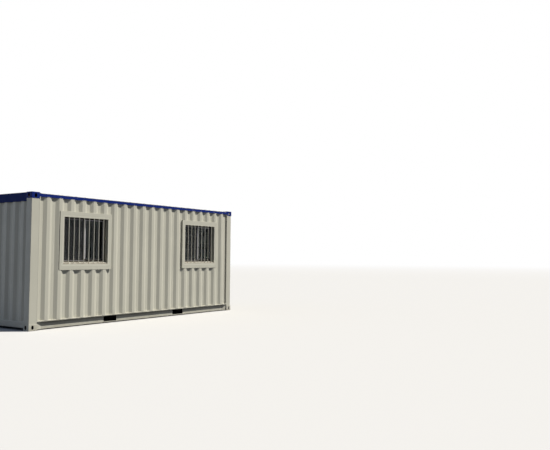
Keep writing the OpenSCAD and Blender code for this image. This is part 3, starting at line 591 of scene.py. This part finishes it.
wall_plane, wall_low, wall_high = 1.215, 0.177, 2.508
sheet_start, first_fold, sheet_end = -fitting_inner_x, (-2.830, -2.824), 2.835
rib_first, rib_pitch, rib_count, ribs_a_sheet = -2.686, 0.278, 20, 4
rib_deep, rib_slope, rib_flat, seam_place = 0.036, 0.068, 0.072, 0.175
rib_starts = rib_first + rib_pitch * np.arange(rib_count)
rib_folds = (rib_starts[:, None] + [-rib_slope, 0, rib_flat, rib_flat + rib_slope]).ravel()
rib_x = np.concatenate([[sheet_start, *first_fold], rib_folds, [sheet_end]])
rib_in = rib_deep * np.concatenate([[0, 0, 1], np.tile([1, 0, 0, 1], rib_count), [1]])


def wall_line(start, stop, z):
    """Points along the front wall's outer face at height z, from start to stop in X."""
    inside = rib_x[(rib_x > start) & (rib_x < stop)]
    x = np.concatenate([[start], inside, [stop]])
    return np.stack([x, np.interp(x, rib_x, rib_in) - wall_plane, np.full_like(x, z)], axis=1)


to_front = (0, -1, 0)
valley_y = rib_deep - wall_plane
surround_half, surround_low, surround_high = 0.6475, 1.120, 2.270
sheet_seams = rib_starts[::ribs_a_sheet] + seam_place
long_beads = [bead(wall_line(sheet_start, sheet_end, z), (0, -1, tilt))
              for z, tilt in ((wall_low, 1), (wall_high, -1))]
for x in sheet_seams:
    spans = [(wall_low, wall_high)]
    if any(abs(x - middle) < surround_half for middle in window_middles):
        spans = [(wall_low, surround_low), (surround_high, wall_high)]
    y = np.interp(x, rib_x, rib_in) - wall_plane
    long_beads += [bead(upright(x, y, low, high), to_front, size=0.004, low=0.3) for low, high in spans]
long_beads.append(bead(upright(sheet_end, valley_y, wall_low, wall_high), (-1, -1, 0), size=0.004))
long_beads.append(bead(upright(sheet_start, -wall_plane, wall_low, wall_high), to_front, low=0.4))
for middle in window_middles:
    left, right = middle - surround_half, middle + surround_half
    under, over = wall_line(left, right, surround_low), wall_line(left, right, surround_high)
    long_beads.append(bead(np.concatenate([under, over[::-1], under[:1]]), to_front, closed=True))

end_plane, end_valley, end_low, end_high, end_side = 3.017, 2.981, 0.170, 2.416, fitting_inner_y
end_first, end_pitch, end_count, end_foot, end_crest = -0.9345, 0.267, 8, 0.100, 0.035
end_middles = end_first + end_pitch * np.arange(end_count)
end_folds = (end_middles[:, None] + [-end_foot, -end_crest, end_crest, end_foot]).ravel()
end_y = np.concatenate([[-end_side], end_folds, [end_side]])
end_x = np.tile([end_valley, end_plane, end_plane, end_valley], end_count)
end_x = -np.concatenate([[end_valley], end_x, [end_valley]])
end_beads = [bead(np.stack([end_x, end_y, np.full_like(end_y, z)], axis=1), (-1, 0, tilt))
             for z, tilt in ((end_low, 1), (end_high, -1))]
end_beads += [bead(upright(-end_valley, way * end_side, end_low, end_high), (-1, -way, 0)) for way in (-1, 1)]
weld_cream = coated_steel("weld_cream", cream, rain=0.05, dust_top=0.3, rust=0.3, ripples=0.0006)
add_piece("wall_welds", mirrored(long_beads, 1) + end_beads, weld_cream, crease=70)

post_bend = ((0.010, 0.0), (0.003, 0.003), (0.0, 0.010))


def post_line(inner_x, outer_x, inner_y, z):
    """Points round a corner post at height z: along the long wall, round the bend and along the end. The
    bend is three points, the middle one nearest to the corner."""
    way = math.copysign(1, outer_x)
    bend = [(outer_x - way * from_end, from_side - wall_plane, z) for from_end, from_side in post_bend]
    return [(inner_x, -wall_plane, z), *bend, (outer_x, inner_y, z)]


blind_post = (-2.853, -3.025, -1.065)
door_post = (2.853, 3.010, -1.180)
end_rail_low = 0.050
frame_beads = [bead(post_line(*post, z), (math.copysign(1, post[0]), -1, 0), size=0.004, low=0.7)
               for post in (blind_post, door_post) for z in (fitting_tall, top_fitting_z)]
frame_beads.append(bead(upright(blind_post[1], -end_side, end_rail_low, fitting_tall), (-1, 0, 0), low=0.6))
add_piece("frame_welds", mirrored(frame_beads, 1), weld_cream, crease=70)

# Welds of the top frame and the roof
# The rails and the end header butt against the top fittings with a bead round their ends. The roof sheets
# are welded to the rails with a thin continuous bead and to each other between ridges.
tube_inner, tube_low, tube_top, tube_bend = 1.160, 2.510, 2.568, 0.006
header_low, header_high = 2.424, 2.583
tube_end = [(tube_inner, tube_top), (wall_plane - tube_bend, tube_top),
            (wall_plane - tube_bend / 4, tube_top - tube_bend / 4),
            (wall_plane, tube_top - tube_bend), (wall_plane, tube_low)]
tube_end = [(fitting_inner_x, -y, z) for y, z in tube_end]
blue_beads = mirrored([bead(tube_end, (0, -1, 0.4), size=0.004, low=0.6)], 0)
blue_beads.append(bead(upright(blind_post[1], -end_side, header_low, header_high), (-1, 0, 0), low=0.6))
weld_blue = coated_steel("weld_blue", royal_blue, rust=0.3, ripples=0.0006, shine=blue_shine)
add_piece("top_frame_welds", mirrored(blue_beads, 1), weld_blue, crease=70)

roof_end, roof_side, roof_flat, edge_drop = 2.850, 1.209, 2.570, 0.001
ridge_pitch, ridges_a_sheet = 0.209, 5
roof_seams = ridge_pitch * (np.arange(-10, 11, ridges_a_sheet) + 0.5)
roof_edge = [(x, -roof_side, roof_flat - edge_drop) for x in (-roof_end, roof_end)]
roof_beads = [bead(roof_edge, (0, -1, 1), size=0.003)]
roof_beads += [bead([(x, -roof_side, roof_flat), (x, 0, roof_flat)], (0, 0, 1), size=0.005, low=0.35)
               for x in roof_seams]
weld_roof = coated_steel("weld_roof", toned(cream, 0.97), rust=0.5, ripples=0.0006)
add_piece("roof_welds", mirrored(roof_beads, 1), weld_roof, crease=70)

# Windows
# Bronze aluminium frames with two sliding sashes each and single panes of clear glass. A rubber bead holds
# every pane, a black rubber strip closes the joint to the steel liner, and a fin serves as a finger pull.
dark_foot, sash_dark_foot, frame_dark_foot = shown(34, 31, 27), (1.343, 1.325), (1.345, 1.330)
aluminium, tree, shader, place = blank_material("window_aluminium")
brushed = clouds(tree, stretched(tree, place, (300, 300, 6)), detail=2.0)
grimy = risen(tree, clouds(tree, place, scale=9.0, detail=5.0), 0.45, 0.75, top=0.35)
tone = mixed(tree, brushed, shown(148, 147, 150), shown(164, 163, 166))
tone = mixed(tree, grimy, tone, rain_dirt)
# The sashes turn darker towards their feet.
darker_at_foot = risen(tree, split(tree, place)[2], *sash_dark_foot, top=0.95)
finished(tree, shader, mixed(tree, darker_at_foot, tone, dark_foot),
         reckon(tree, "ADD", product(tree, brushed, 0.2), 0.34))
bright = reckon(tree, "SUBTRACT", 1.0, darker_at_foot)
tree.links.new(product(tree, bright, 0.25), shader.inputs["Metallic"])
tree.links.new(product(tree, bright, 0.5), shader.inputs["Specular IOR Level"])
dress(aluminium, "front_window_sashes", "back_window_sashes")

bronze, tree, shader, place = blank_material("window_bronze")
chalky = clouds(tree, place, scale=14.0, detail=5.0)
tone = mixed(tree, risen(tree, chalky, 0.40, 0.70), shown(52, 44, 34), shown(72, 62, 49))
# The frames turn darker towards their feet.
darker_at_foot = risen(tree, split(tree, place)[2], *frame_dark_foot, top=0.9)
finished(tree, shader, mixed(tree, darker_at_foot, tone, shown(22, 19, 16)),
         reckon(tree, "ADD", product(tree, chalky, 0.3), 0.35),
         raised(tree, clouds(tree, place, scale=420.0, detail=1.0), 0.00006), Specular_IOR_Level=0.15)
dress(bronze, "front_window_frames", "back_window_frames")

glass, tree, shader, place = blank_material("window_glass")
smears = clouds(tree, stretched(tree, place, (9, 9, 3)), detail=4.0)
tree.links.new(risen(tree, smears, 0.45, 0.75, top=0.05), shader.inputs["Roughness"])
shader.inputs["Base Color"].default_value = shown(196, 212, 216)
shader.inputs["Transmission Weight"].default_value = 1.0
shader.inputs["IOR"].default_value = 1.24
dress(glass, "front_window_glass", "back_window_glass")

rubber, tree, shader, place = blank_material("seal_rubber")
bloom = clouds(tree, place, scale=30.0, detail=4.0)
finished(tree, shader, mixed(tree, bloom, shown(22, 22, 22), shown(48, 47, 45)),
         reckon(tree, "ADD", bloom, 0.2), Specular_IOR_Level=0.2)


def strip_round(left, right, low, high, y, out, across, proud, step=0.2, corners=8):
    """A strip carried round an upright rectangle at Y = y, mitred at its four corners."""
    ring = [(left, y, low), (right, y, low), (right, y, high), (left, y, high), (left, y, low)]
    return carried(stepped(ring, step)[:-1], out, across, proud, corners=corners, closed=True)


pane_low, pane_high, pane_thick = 1.335, 2.113, 0.005
seal_across, seal_proud = 0.0032, 0.0028
panes = ((-0.5045, -0.002, 1.109), (0.042, 0.5045, 1.088))
pane_beads = []
for middle in window_middles:
    for left, right, front in panes:
        for y, way in ((front, -1), (front - pane_thick, 1)):
            pane_beads.append(strip_round(middle + left, middle + right, pane_low, pane_high, -y,
                                          (0, way, 0), seal_across, seal_proud))
add_piece("pane_seals", mirrored(pane_beads, 1), rubber, crease=50)

frame_front, gasket_half, gasket_low, gasket_high = 1.119, 0.5515, 1.291, 2.160
gasket_across, gasket_proud = 0.0050, 0.0065
gaskets = [strip_round(middle - gasket_half, middle + gasket_half, gasket_low, gasket_high, -frame_front,
                       to_front, gasket_across, gasket_proud) for middle in window_middles]
add_piece("window_gaskets", mirrored(gaskets, 1), rubber, crease=50)

# A dark rubber strip runs down beside the surround of the window nearer the blind end, on its side towards
# that end: painted shade for the surround's side.
shade_strip_half, shade_strip_beside = 0.009, 0.010
shade_strip_x = window_middles[0] - surround_half - shade_strip_beside
shade_strip_line = bead(upright(shade_strip_x, -wall_plane, surround_low, surround_high), to_front, size=shade_strip_half,
                 low=0.3)
add_piece("surround_shade_strip", mirrored([shade_strip_line], 1), rubber, crease=60)

pull_place, pull_plane, pull_low, pull_high = 0.048, 1.113, 1.337, 2.111
pull_across, pull_proud = 0.0100, 0.0045
pulls = [carried(np.array(upright(middle + pull_place, -pull_plane, pull_low, pull_high)), to_front,
                 pull_across, pull_proud, corners=4) for middle in window_middles]
add_piece("sash_pulls", mirrored(pulls, 1), aluminium, crease=30)

# Fly screens
# A fine grey mesh in a thin aluminium frame stands before the left half of each window. Its wires are a
# quarter of a millimetre thick and run both ways. Under the head the frame is painted dark, as painted shade.
screen_left, screen_right, screen_low, screen_high = -0.545, 0.002, 1.297, 2.152
screen_front, screen_bar, screen_proud = 1.1245, 0.018, 0.0064
wire, wire_pitch, wire_sides = 0.00028, 0.0018, 3
wire_turn = np.arange(wire_sides) * 2 * np.pi / wire_sides
spread = wire * 0.6 * np.cos(wire_turn), wire * 0.6 * np.sin(wire_turn)
screens, wires = [], []
for middle in window_middles:
    left, right = middle + screen_left + screen_bar / 2, middle + screen_right - screen_bar / 2
    low, high = screen_low + screen_bar / 2, screen_high - screen_bar / 2
    screens.append(strip_round(left, right, low, high, -screen_front, to_front, screen_bar * 0.7,
                               screen_proud, step=2.0, corners=4))
    # Three-sided wires, each with a station at both of its ends. The level ones lie behind the upright ones.
    x = np.arange(left, right, wire_pitch)
    z = np.arange(low, high, wire_pitch)
    standing = np.zeros((len(x), 2, wire_sides, 3))
    standing[..., 0] = x[:, None, None] + spread[0]
    standing[..., 1] = -screen_front + spread[1]
    standing[..., 2] = np.array([low, high])[None, :, None]
    level = np.zeros((len(z), 2, wire_sides, 3))
    level[..., 0] = np.array([left, right])[None, :, None]
    level[..., 1] = -screen_front + wire * 0.9 + spread[0]
    level[..., 2] = z[:, None, None] + spread[1]
    wires += [(standing, False), (level, False)]
screen_metal, tree, shader, place = blank_material("screen_metal")
weathered = clouds(tree, place, scale=12.0, detail=4.0)
weathered = mixed(tree, weathered, shown(122, 120, 120), shown(152, 150, 150))
# Painted shade: the frame turns dark under the head.
painted_head_shade = risen(tree, split(tree, place)[2], 2.08, 2.13, top=0.85)
finished(tree, shader, mixed(tree, painted_head_shade, weathered, shown(50, 44, 36)), 0.5)
screen_wire, tree, shader, place = blank_material("screen_wire")
finished(tree, shader, mixed(tree, clouds(tree, place, scale=5.0, detail=4.0), shown(50, 50, 52),
                             shown(76, 76, 78)), 0.5)
add_piece("screen_frames", mirrored(screens, 1), screen_metal, crease=30)
add_piece("screen_mesh", mirrored(wires, 1), screen_wire, crease=30)

# Window bars
# Eight round bars, sixteen millimetres thick, stand a hand's breadth apart in each opening. They are welded
# to the sloping sill and to the head of the liner, just behind the surround's face, and painted cream.
bar_size, bar_plane, bar_pitch, bar_count, bar_sides = 0.008, 1.2095, 0.1245, 8, 16
sill_slope, weld_rise, bar_wander = 0.44, 0.017, 0.0007
middle_bar = (bar_count - 1) / 2
bar_x = (np.array(window_middles)[:, None] + bar_pitch * (np.arange(bar_count) - middle_bar)).ravel()
foot_z = sill_z + (fitting_outer_y - bar_plane) * sill_slope
rise = np.array([-0.002, 0.001, 0.004, 0.007, 0.011, weld_rise])
flare = np.array([0.0125, 0.0122, 0.0108, 0.0092, 0.0083, bar_size])
shank = np.linspace(0.12, 0.88, 7) * (head_z - foot_z)

# A circle at every height, wider at both welds. The bar bows to one side by less than two millimetres, as
# half a wave from foot to head, and its foot follows the sill's slope.
bar_z = foot_z + np.concatenate([rise, shank, head_z - foot_z - rise[::-1]])
bar_r = np.concatenate([flare, np.full(len(shank), bar_size), flare[::-1]])[:, None]
bar_turn = np.arange(bar_sides) * 2 * np.pi / bar_sides
lean = np.random.default_rng(5).normal(0.0, bar_wander, (len(bar_x), 2))[:, :, None, None]
bow = np.sin(np.pi * np.clip((bar_z - foot_z) / (head_z - foot_z), 0, 1))[:, None]
follow = np.clip(1 - (bar_z - foot_z) / weld_rise, 0, 1)[:, None]
bars = np.zeros((len(bar_x), len(bar_z), bar_sides, 3))
bars[..., 0] = bar_x[:, None, None] + lean[:, 0] * bow + bar_r * np.cos(bar_turn)
bars[..., 1] = -bar_plane + lean[:, 1] * bow + np.maximum(bar_r * np.sin(bar_turn), -bar_size)
bars[..., 2] = bar_z[:, None] + follow * sill_slope * bar_r * np.sin(bar_turn)
# Their feet are darkened where they meet the sill: rust stain with painted shade.
bar_cream = coated_steel("bar_cream", cream, rain=0.12, rust=0.5, foot=1.268)
add_piece("window_bars", mirrored([(bars, False)], 1), bar_cream, crease=50)

# Cargo doors
# Two leaves of grooved sheet in tube frames, shut, with galvanised lock rods and black rubber seals. The
# rods turn in guides that are bolted to the leaves, two bolts to a guide.
door_cream = coated_steel("door_cream", cream, buckle=0.001, rain=0.12, dust_top=0.6, rust=0.25)
dress(door_cream, "front_door_leaf", "back_door_leaf", "door_hinges")
zinc, tree, shader, place = blank_material("door_zinc")
cells = put(tree, "ShaderNodeTexVoronoi", {"Vector": place, "Scale": 70.0}).outputs["Color"]
flakes = put(tree, "ShaderNodeSeparateColor", {0: cells}).outputs[0]
finished(tree, shader, mixed(tree, flakes, shown(138, 141, 143), shown(176, 179, 181)),
         reckon(tree, "ADD", product(tree, flakes, 0.2), 0.34), Metallic=0.75)
dress(zinc, "front_door_lock_rods", "back_door_lock_rods", "cam_keepers")
dress(rubber, "door_gaskets")

leaf_face, leaf_side, leaf_low, leaf_high = 2.975, 1.1675, 0.1805, 2.458
lip_across, lip_proud = 0.0025, 0.004
lip_x = leaf_face - lip_proud
lip_ring = [(lip_x, 0.0, leaf_low), (lip_x, leaf_side, leaf_low), (lip_x, leaf_side, leaf_high),
            (lip_x, 0.0, leaf_high), (lip_x, 0.0, leaf_low)]
lips = [carried(stepped(lip_ring, 0.4)[:-1], (1, 0, 0), lip_across, lip_proud, closed=True)]
add_piece("door_seal_lips", mirrored(lips, 1), rubber, crease=50)

# A hexagon at each of three depths, the outermost smaller for the chamfer of the bolt's head.
guide_low, guide_pitch, guide_count, guide_thick = 0.335, 0.65667, 4, 0.005
rod_y, bolt_from_rod = np.array([0.300, 0.860]), 0.042
guide_z = guide_low + guide_pitch * np.arange(guide_count)
bolt_y = (rod_y[:, None] + [-bolt_from_rod, bolt_from_rod]).ravel()
bolt_grid = np.stack(np.meshgrid(bolt_y, guide_z, indexing="ij"), axis=-1).reshape(-1, 2)[:, None, None]
bolt_x = leaf_face + guide_thick + np.array([-0.0005, 0.0068, 0.0080])
bolt_r = np.array([0.0104, 0.0104, 0.0090])[:, None]
bolt_turn = np.arange(6) * np.pi / 3
bolts = np.zeros((len(bolt_grid), len(bolt_x), len(bolt_turn), 3))
bolts[..., 0] = bolt_x[:, None]
bolts[..., 1] = bolt_grid[..., 0] + bolt_r * np.cos(bolt_turn)
bolts[..., 2] = bolt_grid[..., 1] + bolt_r * np.sin(bolt_turn)
add_piece("guide_bolts", mirrored([(bolts, False)], 1), zinc, crease=20)
